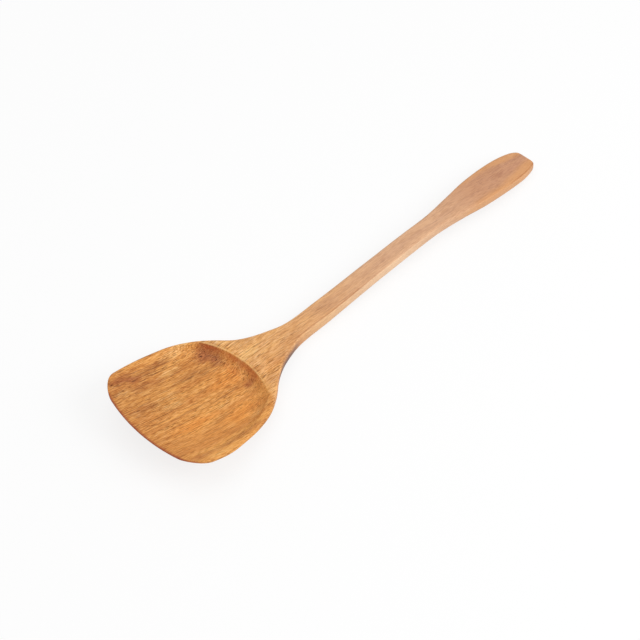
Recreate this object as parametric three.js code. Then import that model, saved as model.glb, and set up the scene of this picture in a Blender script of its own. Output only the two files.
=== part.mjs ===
// A wooden turner, carved and sanded from one board: a scooped blade with a thin front
// edge, a raised deck behind the scoop, a neck, and a handle that swells near its end.
// Nothing is glued, pinned or fitted to it, so it is one solid.
//
// It lies on its back, as on a table: it rests on the heel under its neck and on the end
// of its handle, and the blade rises towards its front edge.
// Millimetres. +X runs from the blade to the handle's end and +Z is up. The origin is on
// the table, below the middle of the turner's length.

import * as THREE from 'three';
import { mergeVertices } from 'three/addons/utils/BufferGeometryUtils.js';

// Lengths along the turner
const overallLength = 360;
const headLength = 125; // from the front edge to where the handle starts
const scoopLength = 85.8; // from the front edge to the crest behind the scoop

// Widths across it
const bladeWidth = 93.2; // the widest place of the blade
const neckWidth = 16.7; // where the handle starts
const waistWidth = 14.4; // the narrowest place of the handle
const swellWidth = 26.8; // the widest place near the handle's end
const endWidth = 18.3; // across the handle's end, before its corners are rounded

// Bows and roundings, seen from above
const frontBow = 8; // how far the front edge falls back at the blade's full width
const crestBow = 18; // how far the crest curves forward at the blade's full width
const cornerRadius = 14; // the two front corners
const endRadius = 7.5; // the two corners of the handle's end
const endNarrowing = 6; // what that rounding takes off each side at the very end

// Thickness
const frontThickness = 1.6; // the thin front edge
const neckThickness = 10.8; // the thickest place
const endThickness = 7.5; // the handle's end
const sideRadius = 2.8; // the rounding of the sides, where they are thick enough
const endRounding = 3; // the rounding of the handle's end, seen from the side

// Heights of the middle of the sides above the table
const frontHeight = 25;
const heelHeight = 5.3;
const archHeight = 8.7;
const endHeight = 3.2;

// How the faces swell or sink between the sides
const frontCamber = 2.6; // the blade's front edge sags this much in the middle
const bellyDepth = 6; // the blade's underside hangs this much below its sides
const handleBelly = 0.3;
const deckCrown = 1; // the deck and the handle stand up a little in the middle
const handleCrown = 0.4;

// The scoop
const scoopDepth = 6.6; // from the crest down to the floor, where the two would meet
const backWall = 10; // how far the curved wall behind the floor runs forward
const sideWall = 16; // and how far the walls beside the floor run inwards
const frontLip = 0.8; // the flat land left on the blade's sides, at the front
const backLip = 3.4; // and beside the crest

// Each row is a place, as a share of the head's or the handle's length, and a value, as a
// share of the way between the two sizes that the curve runs between.
const headOutlineShares = [
  [0, 0.86],
  [0.12, 0.963],
  [0.24, 1],
  [0.36, 0.97],
  [0.48, 0.9],
  [0.58, 0.767],
  [0.66, 0.583],
  [0.74, 0.35],
  [0.82, 0.19],
  [0.9, 0.085],
];
const handleOutlineShares = [
  [0.12, 0.09],
  [0.47, 0],
  [0.58, 0.05],
  [0.67, 0.4],
  [0.76, 0.855],
  [0.855, 1],
];
const lateOutlineShares = [[0.94, 0.77]];
const headHeightShares = [
  [0, 1],
  [0.24, 0.675],
  [0.48, 0.405],
  [0.72, 0.157],
];
const handleHeightShares = [
  [0.15, 0.11],
  [0.32, 0.66],
  [0.49, 0.97],
  [0.66, 0.94],
];
const lateHeightShares = [[0.83, 0.67]];
const headThicknessShares = [
  [0, 0],
  [0.08, 0.085],
  [0.24, 0.135],
  [0.48, 0.21],
  [0.64, 0.37],
  [0.76, 0.7],
  [0.9, 1],
];
const handleThicknessShares = [
  [0.15, 0.6],
  [0.49, 0.45],
  [0.75, 0.17],
];
const camberShares = [
  [0, 1],
  [0.24, 0.95],
  [0.48, 0.7],
  [0.69, 0.25],
  [0.85, 0],
];
const bellyShares = [
  [0, 0],
  [0.24, 0.35],
  [0.48, 0.84],
  [0.62, 0.98],
  [0.76, 0.5],
  [0.9, 0.05],
];
const scoopDepthShares = [
  [0, 0],
  [0.35, 0.3],
  [0.7, 0.77],
  [1, 1],
];
const bowTurnShare = 0.36; // the cross lines turn from the front bow to the crest's bow
const turnedBowShare = 0.32; // and have this share of the crest's bow there
const bellyPowerShare = 3.2; // above 2, the belly is fuller than a parabola
const cornerBlendShare = 3; // how tightly the scoop's back corners turn

// Steps of the mesh
const frontSteps = 2;
const cornerSteps = 6;
const bladeSteps = 12;
const wallSteps = 6;
const deckSteps = 8;
const handleSteps = 22;
const endSteps = 6;
const roundingSteps = 4;
const floorSteps = 8;
const solverSteps = 40;

// A smooth curve through points of place and value, as a function of the place
function curveThrough(points) {
  const places = points.map(([place]) => place);
  const values = points.map(([, value]) => value);
  const curve = new THREE.CubicInterpolant(places, values, 1);
  return (place) => curve.evaluate(place)[0];
}

// The rows of a table of shares as real places and values
function spanned(shares, start, length, low, high) {
  return shares.map(([place, value]) => [
    start + place * length,
    THREE.MathUtils.lerp(low, high, value),
  ]);
}

// Half the width at a place along the turner, before any corner is rounded
function outlineCurve() {
  const handleLength = overallLength - headLength;
  return curveThrough([
    ...spanned(headOutlineShares, 0, headLength, neckWidth / 2, bladeWidth / 2),
    [headLength, neckWidth / 2],
    ...spanned(handleOutlineShares, headLength, handleLength, waistWidth / 2, swellWidth / 2),
    ...spanned(lateOutlineShares, headLength, handleLength, endWidth / 2, swellWidth / 2),
    [overallLength, endWidth / 2],
  ]);
}

// The height of the middle of the sides
function sideHeightCurve() {
  const handleLength = overallLength - headLength;
  return curveThrough([
    ...spanned(headHeightShares, 0, headLength, heelHeight, frontHeight),
    [headLength, heelHeight],
    ...spanned(handleHeightShares, headLength, handleLength, heelHeight, archHeight),
    ...spanned(lateHeightShares, headLength, handleLength, endHeight, archHeight),
    [overallLength, endHeight],
  ]);
}

// The thickness at the sides
function thicknessCurve() {
  const handleLength = overallLength - headLength;
  return curveThrough([
    ...spanned(headThicknessShares, 0, headLength, frontThickness, neckThickness),
    [headLength, neckThickness],
    ...spanned(handleThicknessShares, headLength, handleLength, endThickness, neckThickness),
    [overallLength, endThickness],
  ]);
}

const outline = outlineCurve();
const sideHeight = sideHeightCurve();
const thickness = thicknessCurve();
const camber = curveThrough([
  ...spanned(camberShares, 0, headLength, 0, frontCamber),
  [headLength, 0],
  [overallLength, 0],
]);
const belly = curveThrough([
  ...spanned(bellyShares, 0, headLength, 0, bellyDepth),
  [headLength, handleBelly],
  [overallLength, handleBelly],
]);
const crown = curveThrough([
  [0, 0],
  [scoopLength / 2, 0],
  [scoopLength, deckCrown],
  [headLength, handleCrown],
  [overallLength, handleCrown],
]);
const lip = curveThrough([
  [0, frontLip],
  [scoopLength / 2, frontLip],
  [scoopLength, backLip],
  [headLength, frontLip],
  [overallLength, frontLip],
]);
const floorDepth = curveThrough(spanned(scoopDepthShares, 0, scoopLength, 0, scoopDepth));

// The cross lines of the mesh bow with the front edge, then with the crest, and run
// straight across the handle. This is the bow at the blade's full width.
const bow = curveThrough([
  [0, frontBow],
  [bowTurnShare * headLength, -turnedBowShare * crestBow],
  [scoopLength, -crestBow],
  [headLength, 0],
  [overallLength, 0],
]);

// The place along the turner of a point on a cross line
function placeOf(line, across) {
  return line + bow(line) * (across / (bladeWidth / 2)) ** 2;
}

// What a quarter round of the given radius takes off, at a distance inside its edge
function quarterRound(distance, radius) {
  const left = THREE.MathUtils.clamp(1 - distance / radius, 0, 1);
  return 1 - Math.sqrt(1 - left ** 2);
}

// Where a cross line meets the outline, found by halving
function halfWidthOf(line) {
  const corner = cornerRadius * quarterRound(line, cornerRadius);
  const end = endNarrowing * quarterRound(overallLength - line, endRadius);
  let low = 0;
  let high = bladeWidth;
  for (let step = 0; step < solverSteps; step += 1) {
    const middle = (low + high) / 2;
    if (middle < outline(placeOf(line, middle)) - corner - end) {
      low = middle;
    } else {
      high = middle;
    }
  }
  return low;
}

// How deep the scoop is cut at a point: a floor with a curved wall behind and beside it
function scoopCut(line, insideLip) {
  const behind = (scoopLength - line) / backWall;
  const beside = insideLip / sideWall;
  if (behind <= 0 || beside <= 0) {
    return 0;
  }
  const sum = behind ** -cornerBlendShare + beside ** -cornerBlendShare;
  const along = Math.min(sum ** (-1 / cornerBlendShare), 1);
  return floorDepth(line) * (1 - (1 - along) ** 2);
}

// The rounding of a side, never more than half of the width that it rounds
function sideRoundingOf(line, halfWidth) {
  return Math.min(thickness(line) / 2, sideRadius, halfWidth / 2);
}

// The distances of the columns from the side, from the side to the middle
function columnsFromSide(line, halfWidth) {
  const radius = sideRoundingOf(line, halfWidth);
  const columns = [];
  for (let step = 0; step <= roundingSteps; step += 1) {
    columns.push(radius * (1 - Math.cos((step / roundingSteps) * (Math.PI / 2))));
  }
  const start = radius + Math.min(lip(line), (halfWidth - radius) / 2);
  for (let step = 0; step <= floorSteps; step += 1) {
    const along = step / floorSteps;
    columns.push(start + (halfWidth - start) * along * (1 + along) / 2);
  }
  return columns;
}

// The heights of the two faces at one point
function facesAt(line, halfWidth, fromSide) {
  const across = Math.max(halfWidth - fromSide, 0);
  const place = placeOf(line, across);
  const half = thickness(line) / 2;
  const radius = sideRoundingOf(line, halfWidth);
  const share = Math.min(across / outline(place), 1);
  const frontRound = 1 - quarterRound(line, frontThickness / 2);
  const endRound = 1 - quarterRound(overallLength - line, endRounding);
  const sideRound = 1 - quarterRound(fromSide, radius);
  const full = Math.min(frontRound, endRound) * sideRound;
  const middle = sideHeight(line) - camber(line) * (1 - share ** 2);
  const top = middle + full * (half + crown(line) * (1 - share ** 2));
  const under = middle - full * (half + belly(line) * (1 - share ** bellyPowerShare));
  const cut = scoopCut(line, fromSide - radius - lip(line));
  return { place, across, top: top - cut, under };
}

// One closed ring of points: the underside from right to left, then the top face back
function ringAt(line) {
  const halfWidth = halfWidthOf(line);
  const columns = columnsFromSide(line, halfWidth);
  const right = columns.map((fromSide) => ({ side: -1, ...facesAt(line, halfWidth, fromSide) }));
  const left = columns.map((fromSide) => ({ side: 1, ...facesAt(line, halfWidth, fromSide) }));
  const row = [...right, ...left.slice(0, -1).reverse()];
  const under = row.map((point) => [point.place, point.side * point.across, point.under]);
  const top = row.map((point) => [point.place, point.side * point.across, point.top]);
  return [...under, ...top.slice(1, -1).reverse()];
}

// Places in even steps, without the last one
function evenly(from, to, steps) {
  return Array.from({ length: steps }, (_, step) => from + ((to - from) * step) / steps);
}

// The cross lines, closest where an edge is rounded and at the crest
function crossLines() {
  const lines = [];
  for (let step = 0; step < frontSteps; step += 1) {
    lines.push((frontThickness / 2) * (1 - Math.cos((step / frontSteps) * (Math.PI / 2))));
  }
  for (let step = 1; step < cornerSteps; step += 1) {
    lines.push(cornerRadius * (1 - Math.cos((step / cornerSteps) * (Math.PI / 2))));
  }
  lines.push(...evenly(cornerRadius, scoopLength - backWall, bladeSteps));
  lines.push(...evenly(scoopLength - backWall, scoopLength, wallSteps));
  lines.push(...evenly(scoopLength, headLength, deckSteps));
  lines.push(...evenly(headLength, overallLength - endRadius, handleSteps));
  for (let step = endSteps; step >= 0; step -= 1) {
    lines.push(overallLength - endRadius * (1 - Math.cos((step / endSteps) * (Math.PI / 2))));
  }
  return lines.sort((one, other) => one - other);
}

// The whole surface: rings joined to their neighbours. The first and the last ring lie
// flat, so their two faces meet in one edge and the body closes. Where the underside
// would pass below the table it is sanded flat.
function turnerGeometry() {
  const rings = crossLines().map(ringAt);
  const count = rings[0].length;
  const positions = rings.flat().flatMap(([x, y, z]) => [x, y, Math.max(z, 0)]);
  const index = [];
  for (let ring = 0; ring + 1 < rings.length; ring += 1) {
    for (let point = 0; point < count; point += 1) {
      const a = ring * count + point;
      const b = ring * count + ((point + 1) % count);
      index.push(a, b, b + count, a, b + count, a + count);
    }
  }
  const geometry = new THREE.BufferGeometry();
  geometry.setAttribute('position', new THREE.Float32BufferAttribute(positions, 3));
  geometry.setIndex(index);
  const closed = mergeVertices(geometry);
  closed.computeVertexNormals();
  return closed;
}

// Oiled reddish-golden hardwood
function oiledWood() {
  return new THREE.MeshStandardMaterial({ color: 0xc98a45, roughness: 0.55, metalness: 0 });
}

function turnerBody() {
  const body = new THREE.Mesh(turnerGeometry(), oiledWood());
  body.name = 'turner_body';
  body.position.x = -overallLength / 2;
  return body;
}

const group = new THREE.Group();
group.add(turnerBody());

export default group;
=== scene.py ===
# %% [markdown]
# # A carved wooden turner
#
# This lesson dresses a wooden cooking turner: one board, carved to a shallow scoop, a
# raised deck, a neck and a long handle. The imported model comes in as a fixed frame. It
# already has the right size and the right main shape, so what is left for Blender is the
# softness of the hand-sanded edges, and above all the wood.

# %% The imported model
import math

import bmesh
import bpy
import numpy as np
from mathutils import Matrix, Vector


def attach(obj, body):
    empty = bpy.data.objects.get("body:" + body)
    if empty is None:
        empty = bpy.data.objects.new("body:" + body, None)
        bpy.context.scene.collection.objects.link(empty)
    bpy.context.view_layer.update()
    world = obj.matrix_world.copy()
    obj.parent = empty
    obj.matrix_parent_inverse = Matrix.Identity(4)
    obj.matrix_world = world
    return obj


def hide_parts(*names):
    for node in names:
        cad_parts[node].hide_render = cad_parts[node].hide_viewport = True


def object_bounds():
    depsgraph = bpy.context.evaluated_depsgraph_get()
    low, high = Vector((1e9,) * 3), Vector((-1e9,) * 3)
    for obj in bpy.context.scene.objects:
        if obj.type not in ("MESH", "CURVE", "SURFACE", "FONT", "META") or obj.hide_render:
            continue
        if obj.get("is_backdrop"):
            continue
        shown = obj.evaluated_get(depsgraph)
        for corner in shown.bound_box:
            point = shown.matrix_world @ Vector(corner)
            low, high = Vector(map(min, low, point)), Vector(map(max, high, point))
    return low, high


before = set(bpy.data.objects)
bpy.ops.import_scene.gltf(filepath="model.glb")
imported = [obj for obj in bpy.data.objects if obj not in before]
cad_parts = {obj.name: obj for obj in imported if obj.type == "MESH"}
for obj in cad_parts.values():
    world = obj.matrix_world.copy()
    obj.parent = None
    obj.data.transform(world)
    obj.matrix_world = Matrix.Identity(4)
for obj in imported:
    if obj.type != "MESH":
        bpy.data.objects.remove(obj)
cad_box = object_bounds()
print(len(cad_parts), "packed piece")
print("the board is", [round(1000 * size, 1) for size in cad_box[1] - cad_box[0]], "mm")

# %% [markdown]
# ## The camera
# A camera can be placed by eye, or from numbers. Here it is numbers: the turner lies along
# X, and the camera turns round it, tilts down and steps back 0.9 m. Its three directions
# make the columns of its matrix. Coming first, it lets each later step be looked at from
# the angle that matters.

# %% The camera
turned, tilted, distance = math.radians(45.04), math.radians(49.68), 0.9
aimed_right, aimed_up = 0.0206, 0.0163
lens_in_pixels, picture_width, sensor = 1362.0, 640, 36.0
nearest, farthest = 0.01, 20

level_forward = Vector((math.sin(turned), math.cos(turned), 0))
looks = level_forward * math.cos(tilted) - Vector((0, 0, math.sin(tilted)))
right = Vector((math.cos(turned), -math.sin(turned), 0))
up = right.cross(looks)
stands = -distance * looks - aimed_right * right - aimed_up * up
directions = Matrix((right, up, -looks)).transposed().to_4x4()

eye = bpy.data.cameras.new("eye")
eye.sensor_width = sensor
eye.lens = sensor * lens_in_pixels / picture_width
eye.clip_start, eye.clip_end = nearest, farthest
camera = bpy.data.objects.new("camera", eye)
camera.matrix_world = Matrix.Translation(stands) @ directions
bpy.context.scene.collection.objects.link(camera)
bpy.context.scene.camera = camera
bpy.context.scene.view_settings.view_transform = "Standard"
print("the camera stands at", [round(part, 3) for part in stands])

# %% [markdown]
# ## Marking out the board
# A maker bends a thin batten round a few marks and draws along it. The function below is
# that batten: a smooth curve through a few marks, each a place along the turner and a
# size there, in millimetres. A curve of this kind stays close to its marks and doesn't
# swing out between them as a stiffer spline would.

# %% A batten through marks
def batten(*marks):
    """A smooth curve through marks of (place, size), which gives the size at any place."""
    places, sizes = np.array(marks, float).T
    steps = np.diff(places)
    slopes = np.diff(sizes) / steps
    leans = np.concatenate([slopes[:1], (slopes[1:] + slopes[:-1]) / 2, slopes[-1:]])

    def size_at(place):
        place = np.clip(place, places[0], places[-1])
        i = np.clip(np.searchsorted(places, place, side="right") - 1, 0, len(steps) - 1)
        t = (place - places[i]) / steps[i]
        start = sizes[i] * (1 + 2 * t) + leans[i] * steps[i] * t
        end = sizes[i + 1] * (3 - 2 * t) - leans[i + 1] * steps[i] * (1 - t)
        return start * (1 - t) ** 2 + end * t**2

    return size_at


trial = batten((0, 0), (10, 4), (20, 0))
print("a batten bent from 0 up to 4 is at", round(float(trial(5)), 2), "half way")

# %% [markdown]
# Three battens give the main shape: half of the width, the height of the middle of the
# sides above the table, and the thickness. The side view shows best what the second one
# does: the blade rises to its front edge and the handle is a low arch.

# %% Width, height and thickness
length, blade_width = 360.0, 93.2
scoop_end, head_end = 85.8, 125.0
outline = batten(
    (0, 41.25), (15, 45.18), (30, 46.6), (45, 45.45), (60, 42.78), (72.5, 37.69),
    (82.5, 30.65), (92.5, 21.74), (102.5, 15.62), (112.5, 11.6), (head_end, 8.35),
    (153.2, 7.76), (235.45, 7.2), (261.3, 7.51), (282.45, 9.68), (303.6, 12.5),
    (325.9, 13.4), (345.9, 12.42), (length, 9.15),
)
side_height = batten(
    (0, 25), (30, 18.6), (60, 13.3), (90, 8.4), (head_end, 5.3), (160.25, 5.67),
    (200.2, 7.54), (240.15, 8.6), (280.1, 8.5), (320.05, 6.89), (length, 3.2),
)
thickness = batten(
    (0, 1.6), (10, 2.38), (30, 2.84), (60, 3.53), (80, 5), (95, 8.04), (112.5, 10.8),
    (head_end, 10.8), (160.25, 9.48), (240.15, 8.99), (301.25, 8.06), (length, 7.5),
)
print("half the width at the crest is", round(float(outline(scoop_end)), 1), "mm")

# %% [markdown]
# Between its sides the board isn't flat: the blade sags a little at the front, its
# underside hangs in a belly, and the deck and handle are crowned. The cross lines that
# the mesh will follow aren't straight either. They bow with the front edge and then with
# the crest behind the scoop, so that both edges lie on a row of vertices and stay clean.

# %% Swells and bows
front_bow, crest_bow = 8.0, 18.0
camber = batten(
    (0, 2.6), (30, 2.47), (60, 1.82), (86.25, 0.65), (106.25, 0), (head_end, 0), (length, 0)
)
belly = batten(
    (0, 0), (30, 2.1), (60, 5.04), (77.5, 5.88), (95, 3), (112.5, 0.3), (head_end, 0.3),
    (length, 0.3),
)
crown = batten((0, 0), (43, 0), (scoop_end, 1), (head_end, 0.4), (length, 0.4))
bow = batten((0, front_bow), (45, -5.76), (scoop_end, -crest_bow), (head_end, 0), (length, 0))


def place_of(line, across):
    """How far along the turner a point on a bowed cross line is."""
    return line + bow(line) * (across / (blade_width / 2)) ** 2


crest_20_out = round(float(place_of(scoop_end, 20)), 1)
print("the crest is", scoop_end, "mm back at its middle and", crest_20_out, "20 mm out")

# %% [markdown]
# ## Rounded edges
# Every edge of the turner is rounded: the two front corners, the corners of the handle's
# end and the long sides. Bevel modifiers could do it, but the side's rounding has to
# shrink with the thickness towards the thin front edge. So one small function says how
# far up a rounded edge has come at a distance inside it. With a power of 2 it is a quarter
# of an ellipse, and with a higher one it is squarer.
#
# Sandpaper in the hand doesn't round everything alike. The right corner of the handle's
# end is smaller than the left one, and the end's underside rises early. Along the neck
# and the handle the arris, where the face meets the sides, is left crisper than
# elsewhere, and most of all on the right.

# %% Edge rounding
front_corner, left_corner, right_corner = 14.0, 7.5, 5.0
left_narrowing, right_narrowing = 6.0, 3.6
side_radius, front_radius, end_radius, under_end_radius = 2.8, 0.8, 2.6, 6.5
arris_power = batten((0, 2), (85, 2), (112, 3.6), (length, 3.6))
left_crispness = 0.3
halvings = 40


def risen(distance, radius, power=2):
    """The share of its full height that a rounded edge has reached, from 0 to 1."""
    left = np.clip(1 - distance / radius, 0, 1)
    return (1 - left**power) ** (1 / power)


def half_width(lines):
    """Where each cross line meets the rounded outline, found by halving."""
    corners = front_corner * (1 - risen(lines, front_corner))
    corners = corners + left_narrowing * (1 - risen(length - lines, left_corner))
    low, high = np.zeros_like(lines), np.full_like(lines, blade_width)
    for _ in range(halvings):
        middle = (low + high) / 2
        inside = middle < outline(place_of(lines, middle)) - corners
        low, high = np.where(inside, middle, low), np.where(inside, high, middle)
    return low


print("1 mm inside the side, the edge is", round(float(risen(1, side_radius)), 2), "risen")

# %% [markdown]
# ## The scoop
# A gouge cuts the scoop: a floor that gets deeper towards the back, a curved wall that
# climbs to the crest, and gentler walls at the sides. The carver left a wider land of
# untouched face on the right than on the left, and a gentler corner there.
#
# Sandpaper then takes the sharpness off the crest. `eased` is that sandpaper: it bends a
# distance so that it never quite turns a corner, and the wall meets the deck in a small
# round instead of a fold.

# %% The scoop
back_wall, side_wall, easing = 11.0, 15.0, 0.8
wall_power, corner_blend = 2.6, 3
land_change, gentle_from, gentle_over, gentler = 20, 6, 18, 0.7
scoop_depth = batten((0, 0), (30, 1.98), (60, 5.08), (scoop_end, 6.6))
left_land = batten(
    (0, 0.5), (43, 0.8), (74, 1.1), (scoop_end, 3), (head_end, 0.8), (length, 0.8)
)
right_land = batten(
    (0, 1.5), (20, 3), (43, 3.3), (60, 2.2), (74, 3), (scoop_end, 6), (head_end, 0.8),
    (length, 0.8),
)


def eased(distance):
    """The distance where it is positive, and a soft start where it crosses zero."""
    return (distance + np.hypot(distance, easing)) / 2


def scoop_cut(lines, across, inside_round):
    """How deep the scoop is cut below the blade's face."""
    rightness = np.clip(0.5 - across / land_change, 0, 1)
    land = left_land(lines) * (1 - rightness) + right_land(lines) * rightness
    gentle = np.clip((-across - gentle_from) / gentle_over, 0, 1)
    behind = eased(scoop_end - lines) / (back_wall * (1 + gentler * gentle))
    beside = eased(inside_round - land) / side_wall
    both = behind**-corner_blend + beside**-corner_blend
    along = np.minimum(both ** (-1 / corner_blend), 1)
    return scoop_depth(lines) * (1 - (1 - along) ** wall_power)


print("the floor is", round(float(scoop_cut(74, 0.0, 37)), 1), "mm deep at its back")

# %% [markdown]
# ## The hand of the maker
# No hand-sanded face is a perfect surface. A handful of long, low waves, each less than a tenth of
# a millimetre high and drawn with a fixed seed, lets a reflection wander the way it does on the
# real thing. They are in the mesh and not only in a bump, so they are there from every side.

# %% Sanding waves
chance = np.random.default_rng(11)
wave_count, wave_height, shortest, longest = 9, 0.045, 16, 60
wave_turns = chance.uniform(0, 2 * math.pi, (wave_count, 2))
wave_lengths = chance.uniform(shortest, longest, wave_count)


def sanding(along, across):
    """The height of the sanding waves at a point, in mm."""
    total = np.zeros(np.broadcast(along, across).shape)
    for (turn, start), wave in zip(wave_turns, wave_lengths):
        towards = along * math.cos(turn) + across * math.sin(turn)
        total += wave_height * np.sin(2 * math.pi * towards / wave + start)
    return total


print("along the middle they reach", round(sanding(np.arange(length), 0).max(), 2), "mm")

# %% [markdown]
# ## From curves to a surface
# Each cross line gives a closed ring of points: along the underside from one side to the
# other, and back over the top. Rings joined to their neighbours make one closed skin,
# the way a boat is planked over its frames. The points are closest where the shape turns
# fastest, at the rounded sides and at the crest. Each span of cross lines below is a
# place where it starts, one where it ends, and a number of steps.

# %% Cross lines
front_steps, end_steps = 4, 15
spans = [
    (front_radius, 14, 20),
    (14, 74, 56),
    (74, 90, 46),
    (90, head_end, 32),
    (head_end, length - left_corner, 150),
]


def quarter_steps(count):
    """Steps from 0 towards 1 that are close together at 0, as an edge's rounding needs."""
    return 1 - np.cos(np.arange(count) / count * math.pi / 2)


quarter_turn = np.linspace(0, math.pi / 2, end_steps)
lines = np.concatenate([
    front_radius * quarter_steps(front_steps),
    *[np.linspace(start, end, count, endpoint=False) for start, end, count in spans],
    length - left_corner * (1 - np.sin(quarter_turn)),
])[:, None]
print(lines.size, "cross lines")

# %% [markdown]
# Across the board the columns are measured from the side inwards, on the rounding first
# and then out to the middle with growing steps. The other half is the same, turned round.
# At the handle's end the right half is stretched, since less is taken off its corner.

# %% Columns
rounding_steps, face_steps = 8, 39
half = half_width(lines)
rounding = np.minimum(np.minimum(thickness(lines) / 2, side_radius), half / 2)
inwards = np.linspace(0, 1, face_steps)
one_side = np.hstack([
    rounding * quarter_steps(rounding_steps),
    rounding + (half - rounding) * inwards * (1 + 2 * inwards) / 3,
])
from_side = np.hstack([one_side, one_side[:, -2::-1]])
to_the_left = np.sign(np.arange(from_side.shape[1]) - one_side.shape[1] + 1)
across = np.maximum(half - from_side, 0) * to_the_left

taken_left = left_narrowing * (1 - risen(length - lines, left_corner))
taken_right = right_narrowing * (1 - risen(length - lines, right_corner))
across = np.where(across < 0, across * (1 + (taken_left - taken_right) / half), across)
print(from_side.shape[1], "columns")

# %% [markdown]
# Each face stands half of the thickness above or below the middle of the sides, plus
# its crown or belly. The share of the way out to the side, from 0 to 1, shapes those.

# %% Heights of the two faces
belly_power = 3.2
place = place_of(lines, across)
share = np.minimum(abs(across) / outline(place), 1)
crispness = np.where(across < 0, 1, left_crispness)
power = 2 + (arris_power(lines) - 2) * crispness
front_rise = risen(lines, front_radius)
end_rise = risen(length - lines, end_radius)
under_end_rise = risen(length - lines, under_end_radius)
full = np.minimum(front_rise, end_rise) * risen(from_side, rounding, power)
full_under = np.minimum(front_rise, under_end_rise) * risen(from_side, rounding)

middle = side_height(lines) - camber(lines) * (1 - share**2)
cut = scoop_cut(lines, across, from_side - rounding)
top = middle + full * (thickness(lines) / 2 + crown(lines) * (1 - share**2)) - cut
under = middle - full_under * (thickness(lines) / 2 + belly(lines) * (1 - share**belly_power))
print("the thinnest place inside the edges is", round((top - under)[full > 0.99].min(), 2), "mm")

# %% [markdown]
# The sanding waves come last, with other waves on the underside. Nothing may go below the
# table: there the board is rubbed flat, and it rests on those two flats. And nobody cuts an
# outline quite alike on the left and the right, so `drift` moves the blade's middle line
# sideways by a millimetre here and there.

# %% One skin
other_waves = 500
drift = batten(
    (0, 0), (30, -0.1), (45, 0.6), (60, 1.3), (75, 0.5), (90, -0.65), (107, -0.2),
    (head_end, 0), (length, 0),
)
top += full * sanding(place, across)
under = np.maximum(under + full_under * sanding(place + other_waves, across), 0)

under_points = np.stack([place, across, under], -1)
top_points = np.stack([place, across, top], -1)
rings = np.concatenate([under_points, top_points[:, -2:0:-1]], 1)
rings[..., 1] += drift(rings[..., 0])
rings[..., 0] -= length / 2
ring_count, ring_size = rings.shape[:2]

corner = np.arange(ring_size)
start = np.arange(ring_count - 1)[:, None] * ring_size
a, b = start + corner, start + (corner + 1) % ring_size
quads = np.stack([a, b, b + ring_size, a + ring_size], -1).reshape(-1, 4)

skin = bpy.data.meshes.new("carved_turner")
skin.from_pydata((rings.reshape(-1, 3) / 1000).tolist(), [], quads.tolist())
turner = bpy.data.objects.new("carved_turner", skin)
bpy.context.scene.collection.objects.link(turner)
print(ring_count, "rings of", ring_size, "points")

# %% [markdown]
# The first and the last ring lie flat, top on underside. Their doubled points are merged,
# which closes the skin, and the normals are turned outwards. Then the skin takes the
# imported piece's place.

# %% Close the skin
merging_distance = 1e-6
edit = bmesh.new()
edit.from_mesh(skin)
bmesh.ops.remove_doubles(edit, verts=edit.verts, dist=merging_distance)
bmesh.ops.recalc_face_normals(edit, faces=edit.faces)
open_edges = sum(not edge.is_manifold for edge in edit.edges)
for face in edit.faces:
    face.smooth = True
edit.to_mesh(skin)
edit.free()
print(len(skin.polygons), "faces,", open_edges, "open edges")

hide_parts("turner_body")
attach(turner, "root")

# %% [markdown]
# ## Wiring a material with sums
# A wood shader is mostly arithmetic on masks. Wired by hand it becomes a web that nobody
# can read, so one small class wraps a socket and lets it be added and multiplied like a
# number. Each operator adds one Math node, and `node` adds any other kind.

# %% A socket that does sums
class Wire:
    """One output socket. Sums with it add Math nodes, and node() adds any other node."""

    def __init__(self, tree, socket=None):
        self.tree, self.socket = tree, socket

    def node(self, kind, settings=None, inputs=None, output=0):
        """Adds a node: first its settings, then the values or links of its sockets."""
        made = self.tree.nodes.new(kind)
        for name, value in (settings or {}).items():
            setattr(made, name, value)
        for name, value in (inputs or {}).items():
            if isinstance(value, Wire):
                self.tree.links.new(value.socket, made.inputs[name])
            else:
                made.inputs[name].default_value = value
        return Wire(self.tree, made.outputs[output] if made.outputs else None)

    def also(self, output):
        """Another output of the node that this wire comes from."""
        return Wire(self.tree, self.socket.node.outputs[output])

    def sum(self, operation, first, second):
        """A Math node on two values."""
        return self.node("ShaderNodeMath", {"operation": operation}, {0: first, 1: second})

    def __add__(self, other):
        return self.sum("ADD", self, other)

    def __mul__(self, other):
        return self.sum("MULTIPLY", self, other)

    def __sub__(self, other):
        return self.sum("SUBTRACT", self, other)

    def __rsub__(self, other):
        return self.sum("SUBTRACT", other, self)

    __radd__ = __add__
    __rmul__ = __mul__


def new_material(name):
    """A material with an empty node tree, and the Wire that adds its first nodes."""
    material = bpy.data.materials.new(name)
    material.use_nodes = True
    material.node_tree.nodes.clear()
    return material, Wire(material.node_tree)


def tell(what):
    """Prints how many nodes the wood has once this is wired."""
    print(what + ":", len(wood.node_tree.nodes), "nodes")


wood, board = new_material("oiled_wood")
tell("a bare board")

# %% [markdown]
# Wood needs a few words for its patterns: cloudy noise stretched to a size in millimetres,
# a mask that goes softly from 0 to 1 between two values, a value without its sign, and the
# three parts of a vector.

# %% Words for patterns
def cloud(at, sizes, detail=2.0, roughness=0.5):
    """Noise from 0 to 1 with lumps of these sizes along, across and through the board, in mm."""
    scaled = at.node("ShaderNodeVectorMath", {"operation": "DIVIDE"}, {0: at, 1: sizes})
    sockets = {"Vector": scaled, "Scale": 1.0, "Detail": detail, "Roughness": roughness}
    return at.node("ShaderNodeTexNoise", {}, sockets)


def rise(value, low, high):
    """A mask that goes softly from 0 at low to 1 at high."""
    sockets = {"Value": value, "From Min": low, "From Max": high}
    return value.node("ShaderNodeMapRange", {"interpolation_type": "SMOOTHSTEP"}, sockets)


def unsigned(value):
    """The value without its sign."""
    return value.node("ShaderNodeMath", {"operation": "ABSOLUTE"}, {0: value})


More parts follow.
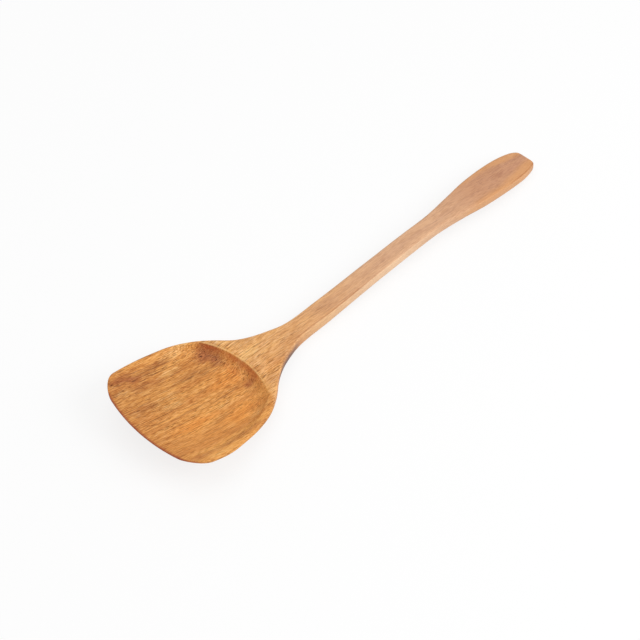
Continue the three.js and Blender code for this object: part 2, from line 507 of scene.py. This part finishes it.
def parts_of(vector):
    """The X, Y and Z of a vector."""
    split = vector.node("ShaderNodeSeparateXYZ", {}, {0: vector})
    return [split.also(axis) for axis in "XYZ"]


# %% [markdown]
# And a few for its colours. A paint is written as it is seen on the screen and turned into
# the linear values that Blender works with. A coat covers what is below it. A glaze
# multiplies it, as a clear stain does, so it stays as strong in a dark patch as it is
# beside it.

# %% Words for colours
def paint(red, green, blue):
    """A colour as it is read off a screen, from 0 to 255, for a colour socket."""
    seen = [part / 255 for part in (red, green, blue)]
    return tuple(p / 12.92 if p < 0.04045 else ((p + 0.055) / 1.055) ** 2.4 for p in seen) + (1.0,)


def blend(mask, first, second):
    """The first colour where the mask is 0, and the second where it is 1."""
    return mask.node("ShaderNodeMix", {"data_type": "RGBA"}, {0: mask, 6: first, 7: second}, 2)


def coat(below, colour, mask, much):
    """A colour laid over another where the mask is 1. It covers that much, from 0 to 1."""
    return blend(mask * much, below, colour)


def glaze(below, tint, mask, much):
    """The colour below, multiplied by a tint where the mask is 1."""
    settings = {"data_type": "RGBA", "blend_type": "MULTIPLY"}
    sockets = {0: mask * much, 6: below, 7: tint + (1.0,)}
    return mask.node("ShaderNodeMix", settings, sockets, 2)


print("a honey colour is", [round(part, 3) for part in paint(208, 137, 64)], "inside Blender")

# %% [markdown]
# ## Where the grain runs
# Wood is solid: the same fibres come out as long streaks on a face and as dots on end
# grain. So the pattern is worked out in three dimensions from the place in the board, in
# millimetres, and not painted on. The grain drifts a few degrees off the turner's axis and
# wanders a little, because no tree grows straight. In the blade it climbs with the blade's
# floor, which keeps the streaks on the floor long.

# %% The grain's own coordinates
blade_from, blade_slope, blade_easing = 105.0, 0.25, 20.0
drifts, wanders, wobbles, sways = 0.04, 4.0, 0.15, 3.0

spot = board.node("ShaderNodeTexCoord", output="Object")
in_mm = board.node("ShaderNodeVectorMath", {"operation": "SCALE"}, {0: spot, "Scale": 1000.0})
x, y, z = parts_of(in_mm)
wander = cloud(in_mm, (90, 30, 30), detail=1.0) - 0.5
sway = cloud(in_mm, (120, 45, 45), detail=1.0) - 0.5
wobble = cloud(in_mm, (16, 6, 6), detail=1.0) - 0.5
ahead = x * -1.0 - blade_from
in_blade = ahead.node(
    "ShaderNodeMath", {"operation": "SMOOTH_MAX"}, {0: ahead, 1: 0.0, 2: blade_easing}
)
grain = board.node("ShaderNodeCombineXYZ", {}, {
    0: x,
    1: y + x * drifts + wander * wanders + wobble * wobbles,
    2: z - in_blade * blade_slope + sway * sways,
})
tell("the grain's coordinates")

# %% [markdown]
# ## Bands, streaks and pores
# Patterns of several sizes make this wood. Broad bands are growth layers that the saw cut
# at an angle. Streaks a millimetre or two wide are bundles of fibres, and threads and
# fibres are finer ones, light and dark. The finest marks are pores, cut open along the
# face: short dark dashes that gather in groups, since the tree makes them in some seasons
# and not in others, and long lines of them. A pore is nearly as thin in depth as it is
# across, so it is a long dash on the floor and only a dot on the wall.

# %% Patterns from broad to fine
bands = cloud(grain, (110, 5, 30), detail=2.0)
streaks = cloud(grain, (20, 1.4, 2.8), detail=2.0, roughness=0.6)
threads = cloud(grain, (18, 0.5, 1), detail=1.0, roughness=0.5)
fibres = cloud(grain, (4, 0.42, 0.6), detail=1.0, roughness=0.6)
pore_groups = rise(cloud(grain, (40, 3, 6), detail=2.0), 0.44, 0.62)
all_pores = rise(cloud(grain, (5, 0.42, 0.55), detail=1.0), 0.55, 0.66)
pores = all_pores * pore_groups
lines_of_pores = rise(cloud(grain, (30, 0.5, 0.7), detail=1.0, roughness=0.3), 0.62, 0.69)
tell("the patterns")

# %% [markdown]
# ## Where on the turner
# The colours also need to know where they are. The surface's normal tells how far it is
# turned along the board, sideways and up. The place tells how far it is behind the front
# edge and the crest, on the same bowed curves that the cross lines follow. The right half
# of the scoop and the handle are calmer than the rest, so one more mask says how lively
# the pattern is.

# %% Masks for places
facing = board.node("ShaderNodeTexCoord", output="Normal")
facing_along, facing_sideways, facing_up = parts_of(facing)
turned_away, sideways = unsigned(facing_along), unsigned(facing_sideways)
upper_face = rise(facing_up, -0.1, 0.4)


def behind(line):
    """How far behind a bowed cross line a place on the turner is, in mm."""
    bend = float(bow(line)) / (blade_width / 2) ** 2
    return x + (length / 2 - line) - y * y * bend


behind_front, behind_crest = behind(0), behind(scoop_end)
deck = rise(behind_crest, -1.0, 4.0) * upper_face
scoop = 1 - deck
along_handle = rise(x, -95.0, 40.0)
at_swell = rise(x, 80.0, 130.0)

calm_side = (1 - rise(y, -26.0, -8.0)) * scoop
calm_handle = rise(x, -100.0, -30.0)
lively = 1 - calm_side * 0.35 - calm_handle * 0.45
tell("the masks")

# %% [markdown]
# ## The board's own marks
# No two boards look alike, and noise alone can't say where this one is dark. So a few marks are
# put where this board has them: red stains near the front left corner and in the scoop's back
# corners, brown, golden and orange patches, long dark veins. One golden mark, a thin line along
# the handle's right arris, is a painted highlight instead. Each is a soft lens with a place and a
# size in the board, its rim torn by the grain.

# %% Soft marks in the board
torn = cloud(grain, (22, 2.2, 2.2), detail=3.0, roughness=0.6) - 0.5
mark_height, mark_depth, tearing = 10, 30, 1.2
full_within, gone_beyond = 0.35, 1.25


def mark(place, across, along_size, across_size, strength=1.0):
    """A soft lens round a place, in mm from the front edge and from the middle."""
    centre = (place - length / 2, across, mark_height)
    sizes = (along_size, across_size, mark_depth)
    offset = in_mm.node("ShaderNodeVectorMath", {"operation": "SUBTRACT"}, {0: in_mm, 1: centre})
    scaled = offset.node("ShaderNodeVectorMath", {"operation": "DIVIDE"}, {0: offset, 1: sizes})
    away = scaled.node("ShaderNodeVectorMath", {"operation": "LENGTH"}, {0: scaled}, "Value")
    return (1 - rise(away + torn * tearing, full_within, gone_beyond)) * strength


def marks(*rows):
    """Several marks, added up."""
    total = mark(*rows[0])
    for row in rows[1:]:
        total = total + mark(*row)
    return total


tell("the noise that tears the marks")

# %% Brown, golden, orange and red
brown_marks = mark(74, 24, 8, 9, 0.65) * scoop + marks(
    (14, 26, 22, 20, 0.8), (20, 38, 16, 4.5, 1.4), (43, 37, 17, 3.2, 1.4), (35, 25, 8, 8, 0.8),
    (62, 17, 18, 3.5, 1.2), (50, 21, 14, 2.2), (66, 6.5, 7, 2, 1.2), (14, 12, 12, 5),
    (76, 17, 6, 4), (71, -26, 9, 5, 0.5), (90, -20, 6, 6, 0.7), (48, -20, 16, 2.5),
    (64, -25, 12, 2.5, 0.7), (14, -39, 9, 4), (45, -40, 26, 2.4), (36, 34, 8, 2.5, 0.8),
    (50, 38.5, 9, 2.5, 0.6), (23, 26, 6, 4, 0.7), (37, 18, 14, 1.8, 0.7), (66, 22, 8, 4, 0.6),
    (92, -1, 6, 2.5, 0.6), (79, 15, 4, 4, 0.6), (48, 7, 8, 1.6, 0.6), (9, 9, 6, 3, 0.6),
    (52, -28, 6, 2, 0.6), (100, 16, 11, 4), (108, -13, 16, 4, 1.2), (121, -4, 12, 6, 0.7),
    (156, 0, 13, 5, 0.9),
)
golden_marks_and_highlight = marks(
    (46, 28.5, 8, 3), (30, 4.5, 10, 3), (92, 5, 9, 4, 1.4), (82, 26, 8, 8, 0.8),
    (13, 29, 7, 3), (68, -31, 9, 2.5), (27, -44, 13, 1.5), (62, 39, 16, 3), (80, -2, 4, 4),
    (32, 13, 13, 1.8, 0.9), (53, 29.5, 6, 2.5, 0.8), (83, 4, 4, 4, 0.8),
    # the last mark below, a thin line along the handle's right arris, is a painted highlight
    (58, -13, 9, 3, 0.9), (65, -27, 5, 2.5, 0.7), (160, -7.6, 40, 0.8, 1.2),
)
orange_marks = marks(
    (69, 3, 14, 7), (62, -24, 16, 7), (30, -15, 20, 6), (79, 2, 4, 12, 0.9),
    (61, -13, 9, 4, 0.4), (95, -13, 10, 7, 0.5),
)
red_marks = scoop * marks(
    (79, 5, 3.5, 7, 0.45), (19, 38.5, 9, 3.5), (25, 34.5, 6, 3), (79, -10.5, 5, 3, 1.2),
    (77, 25, 9, 9, 1.3),
)
veins = marks(
    (32, -4.5, 20, 0.6, 0.7), (60, -7.3, 14, 0.6), (55, 26, 12, 0.4), (87, 18.4, 6, 0.4)
)
stipple = scoop * mark(74, 25, 9, 9)
tell("the marks")

# %% [markdown]
# ## Laying on the colours
# The colours go on in layers. First comes the honey of the plain wood, darker or lighter by bands.
# On the deck's upper face it is paler: partly the wood and partly painted sheen. Then come the
# board's marks. Only then come the streaks, fibres and pores, as glazes, so that the fine grain
# stays as crisp in a stain as it is beside it.
# In the scoop's back left corner every pore shows, as a stipple. The few long veins are
# drawn last.

# %% From honey to stains
honey = blend(rise(bands, 0.36, 0.62), paint(208, 137, 64), paint(226, 158, 78))
# the deck's paler coat is partly painted sheen on its upper face
paler_deck_and_sheen = coat(honey, paint(246, 194, 128), deck * (1 - along_handle * 0.4), much=0.45)
browned = coat(paler_deck_and_sheen, paint(156, 88, 40), brown_marks, much=0.33)
gilded = coat(browned, paint(252, 204, 124), golden_marks_and_highlight, much=0.25)
glowing = coat(gilded, paint(238, 148, 56), orange_marks, much=0.4)
blushed = coat(glowing, paint(156, 74, 32), red_marks, much=0.46)
tell("the stains")

# %% From streaks to pores
dark_tint, light_tint = (0.42, 0.2, 0.0), (1.38, 1.9, 3.4)
line_tint, pore_tint = (0.24, 0.13, 0.08), (0.18, 0.1, 0.08)
open_pores = pores * lively * 0.7 + all_pores * stipple * 0.6

streaked = glaze(blushed, dark_tint, rise(streaks, 0.48, 0.72), much=0.12)
threaded = glaze(streaked, dark_tint, rise(threads, 0.55, 0.66) * lively, much=0.34)
lit = glaze(threaded, light_tint, rise(1 - threads, 0.52, 0.68) * lively, much=0.18)
combed = glaze(lit, dark_tint, rise(fibres, 0.5, 0.68) * lively, much=0.6)
glossed = glaze(combed, light_tint, rise(1 - fibres, 0.5, 0.68) * lively, much=0.35)
lined = glaze(glossed, line_tint, lines_of_pores * lively, much=0.6)
pored = glaze(lined, pore_tint, open_pores, much=1.0)
veined = coat(pored, paint(118, 58, 24), veins, much=0.5)
tell("the fine grain")

# %% [markdown]
# ## End grain
# Where the surface turns across the fibres, as on the wall behind the scoop, the open ends
# drink more oil and go dark and red. How far the face is turned is the X part of its
# normal, since the grain runs along X. Noise makes some places thirstier than others.

# %% End grain
thirst = cloud(grain, (14, 9, 9), detail=2.0) - 0.5
end_grain = rise(turned_away + thirst * 0.4, 0.5, 0.95)
stained = coat(veined, paint(196, 86, 24), end_grain, much=0.6)
tell("the end grain")

# %% [markdown]
# The front edge is end grain too. The blade gets darker over the last centimetre or two,
# and the thin edge itself is a dark red line. Both masks are a distance behind the bowed
# edge, so they follow it round.

# %% The front edge
darker_front = coat(stained, paint(150, 76, 34), 1 - rise(behind_front, 0.0, 20.0), much=0.1)
front_line = coat(darker_front, paint(140, 50, 30), 1 - rise(behind_front, 0.5, 2.0), much=0.6)
tell("the front edge")

# %% [markdown]
# ## The crest
# Behind the scoop a thin light line runs along the crest: a painted highlight where its rounding
# catches the light, with some sanding wear. Just below it, where the wall turns steeply away, lies
# a faint painted shade. The masks are thin bands of the distance behind the crest, torn a little
# so that they aren't drawn with a ruler. They fade out towards the right, where the corner of the
# scoop is gentler.

# %% Painted highlight and shade at the crest
# a painted highlight along the rounded crest, with some sanding wear
crest = rise(behind_crest, -0.2, 0.2) * (1 - rise(behind_crest + torn * 3.0, 0.4, 1.4))
crest = upper_face * crest * rise(y, -30.0, -10.0)
crest_highlight_and_wear = coat(front_line, paint(252, 206, 134), crest, much=0.45)
# painted shade just below the crest, where the wall turns steeply away
shade_below_crest = rise(behind_crest + torn * 2.0, -3.0, -1.2) * (1 - rise(behind_crest, -0.6, 0.0))
shade_below_crest = upper_face * shade_below_crest * rise(y, -20.0, -8.0)
crest_shaded = coat(crest_highlight_and_wear, paint(146, 58, 24), shade_below_crest, much=0.15)
tell("the crest")

# %% [markdown]
# ## Painted shade in the hollow of the neck
# Where the neck's sides sweep out to the blade they cut across the grain, and the lower part of
# that hollow is painted a dark purple brown: partly end grain and partly painted shade, where the
# sides turn away from the light low near the table. Four masks meet in it: behind the crest,
# turned a little towards the handle, turned sideways, and low. The painted shade is dark on the
# right. On the left it is a guess, and weaker.

# %% The hollow's painted shade
shade_on_right, less_on_left = 0.88, 0.5
low = 1 - rise(z + thirst * 6.0, 6.5, 10.5)
turned_into_hollow = rise(facing_along, 0.12, 0.3) * rise(sideways, 0.55, 0.72)
# painted shade low in the neck's hollow, partly end grain
hollow = rise(x, -92.0, -84.0) * turned_into_hollow * low
darkness = shade_on_right - rise(y, 0.0, 2.0) * less_on_left
neck_shaded = blend(hollow * darkness, crest_shaded, paint(70, 32, 38))
tell("the hollow of the neck")

# %% [markdown]
# ## From blade to handle
# The board is golden and strong in colour at the blade and gets paler and pinker along the handle,
# with less contrast, then a little browner again at the swell. The paleness is partly the board's
# own and partly painted sheen, the white room's glare on the handle. It is a slow change, so it is
# a mix along X. The pale wood has a mottle of its own, long lumps and fine short ones.

# %% Paler towards the handle
long_lumps = cloud(grain, (14, 5, 5), detail=1.0)
short_lumps = cloud(grain, (5, 0.6, 0.8), detail=1.0)
mottle = long_lumps * 0.45 + short_lumps * 0.55
clouded = rise(mottle, 0.42, 0.66)
pale = blend(clouded, paint(210, 170, 142), paint(184, 144, 122))
swell = blend(clouded, paint(180, 131, 111), paint(154, 106, 93))
# the handle's paler tone is partly painted sheen
handle_tone_and_sheen = coat(pale, swell, at_swell, much=0.85)
coloured = coat(neck_shaded, handle_tone_and_sheen, along_handle, much=0.7)
tell("the pale handle")

# %% [markdown]
# The rims of the swell stay golden, and more so at the very end. The mask is the distance
# out from the middle, helped along by a few millimetres towards the end.

# %% Golden rims
out_from_middle = unsigned(y) + torn * 4.0 + rise(x, 135.0, 180.0) * 6.0
golden_rim = rise(out_from_middle, 7.0, 12.0) * rise(x, 75.0, 110.0)
rimmed = coat(coloured, paint(218, 156, 94), golden_rim, much=0.5)
tell("the golden rims")

# %% [markdown]
# The handle's sides are painted paler than its face: painted light where they face sideways, less
# so from the swell on. A thin dark line of painted shade runs along the crisp arris on the right,
# where the face turns down to the side. It shows from the neck to the middle of the handle and
# again at the end, and the same noise that tears the marks breaks it up.

# %% Painted light on the sides, painted shade on the arris
line_strength, breaking = 0.45, 1.2
# painted light: the handle's sides lighter than its face
sides = rise(sideways, 0.6, 0.9) * along_handle * (1 - end_grain)
sides = sides * (1 - rise(x, 30.0, 90.0) * 0.8)
with_lit_sides = coat(rimmed, paint(242, 208, 170), sides, much=0.55)

# painted shade along the right arris, where the face turns down to the side
arris = upper_face * rise(sideways, 0.15, 0.4) * (1 - rise(sideways, 0.55, 0.8))
arris = arris * rise(y * -1.0, 2.0, 4.0)
line_shows = rise(x, -75.0, -55.0) * (1 - rise(x, 0.0, 40.0)) + rise(x, 140.0, 160.0)
broken_arris_shade = arris * line_shows * (torn * breaking + line_strength)
finished = blend(broken_arris_shade, with_lit_sides, paint(152, 90, 46))
tell("the sides and the arris")

# %% [markdown]
# ## The finish
# The turner has been oiled, not varnished: a low sheen, a little duller in the pores. The
# same masks that coloured the wood drive its roughness and a very small bump, so that
# every dark pore is also a groove.

# %% The finish
groove_depth = 0.00012
height = streaks * 0.25 - pores
relief = board.node(
    "ShaderNodeBump", {}, {"Height": height, "Strength": 0.35, "Distance": groove_depth}
)
surface = board.node("ShaderNodeBsdfPrincipled", {}, {
    "Base Color": finished,
    "Roughness": 0.5 + pores * 0.3,
    "Specular IOR Level": 0.3,
    "Normal": relief,
})
board.node("ShaderNodeOutputMaterial", {}, {"Surface": surface})
skin.materials.append(wood)
tell("all of the wood")

# %% [markdown]
# ## The floor
# The turner lies on a plain white floor that keeps a soft shadow. Near the turner most of
# what the camera sees of the floor is a plain white glow, and further away all of it is,
# so the background comes out white without more light on the wood. From below, the floor
# is see-through: then the underside can be looked at too.

# %% A white floor
plain_share, near, far = 0.8, 0.3, 0.9
paper, sheet = new_material("white_floor")
camera_sees = sheet.node("ShaderNodeLightPath", output="Is Camera Ray")
from_below = sheet.node("ShaderNodeNewGeometry", output="Backfacing")
floor_spot = sheet.node("ShaderNodeTexCoord", output="Object")
away = sheet.node("ShaderNodeVectorMath", {"operation": "LENGTH"}, {0: floor_spot}, "Value")
whiteness = (camera_sees + camera_sees.also("Is Glossy Ray")) * (
    plain_share + rise(away, near, far) * (1 - plain_share)
)
matt = sheet.node("ShaderNodeBsdfDiffuse", {}, {"Color": paint(244, 244, 244)})
plain_white = sheet.node("ShaderNodeEmission", {}, {"Color": (1, 1, 1, 1), "Strength": 1.0})
clear = sheet.node("ShaderNodeBsdfTransparent")
seen = sheet.node("ShaderNodeMixShader", {}, {0: whiteness, 1: matt, 2: plain_white})
both_sides = sheet.node("ShaderNodeMixShader", {}, {0: from_below, 1: seen, 2: clear})
sheet.node("ShaderNodeOutputMaterial", {}, {"Surface": both_sides})

reach = 6.0
corners = [(-reach, -reach, 0), (reach, -reach, 0), (reach, reach, 0), (-reach, reach, 0)]
floor_mesh = bpy.data.meshes.new("floor")
floor_mesh.from_pydata(corners, [], [(0, 1, 2, 3)])
floor_mesh.materials.append(paper)
floor = bpy.data.objects.new("floor", floor_mesh)
bpy.context.scene.collection.objects.link(floor)
floor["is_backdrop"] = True
print("the floor is", 2 * reach, "m wide")

# %% [markdown]
# ## Soft light
# The light is that of a small studio. A white room fills the shadows. One big soft lamp
# stands to the right of the camera: it brings out the arris and the right side of the
# handle, and leaves the wall of the scoop in shade. A bigger one overhead spreads an even
# light over the scoop and the deck. The camera and reflections see the room as plain white.

# %% A white room
world = bpy.data.worlds.new("white_room")
bpy.context.scene.world = world
world.use_nodes = True
world.node_tree.nodes.clear()
room = Wire(world.node_tree)
ray = room.node("ShaderNodeLightPath", output="Is Camera Ray")
reflected, refracted = ray.also("Is Glossy Ray"), ray.also("Is Transmission Ray")
shown = ray.sum("MAXIMUM", ray, ray.sum("MAXIMUM", reflected, refracted))
fill = room.node("ShaderNodeBackground", {}, {"Color": (1, 1, 1, 1), "Strength": 0.5})
backdrop = room.node("ShaderNodeBackground", {}, {"Color": (1, 1, 1, 1), "Strength": 1.0})
sky = room.node("ShaderNodeMixShader", {}, {0: shown, 1: fill, 2: backdrop})
room.node("ShaderNodeOutputWorld", {}, {"Surface": sky})
print("the room's light is", world.name)


# %% Two soft lamps
def soft_lamp(name, place, size, watts):
    """A square lamp that points at the turner."""
    lamp = bpy.data.lights.new(name, "AREA")
    lamp.size, lamp.energy = size, watts
    holder = bpy.data.objects.new(name, lamp)
    holder.location = place
    holder.rotation_euler = (-Vector(place)).to_track_quat("-Z", "Y").to_euler()
    bpy.context.scene.collection.objects.link(holder)
    print(name, "lamp:", size, "m wide,", watts, "W")


soft_lamp("key", place=(0.5, -1.15, 1.0), size=1.0, watts=13.5)
soft_lamp("overhead", place=(-0.1, 0.3, 1.6), size=1.6, watts=9.3)

# %% [markdown]
# ## The size, once more
# The dressed turner has to be as big as the imported one. How much the two boxes differ is
# printed.

visual_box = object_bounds()
differences = [round(1000 * (b - a), 2) for a, b in zip(cad_box[1], visual_box[1])]
print("the box differs by", differences, "mm")
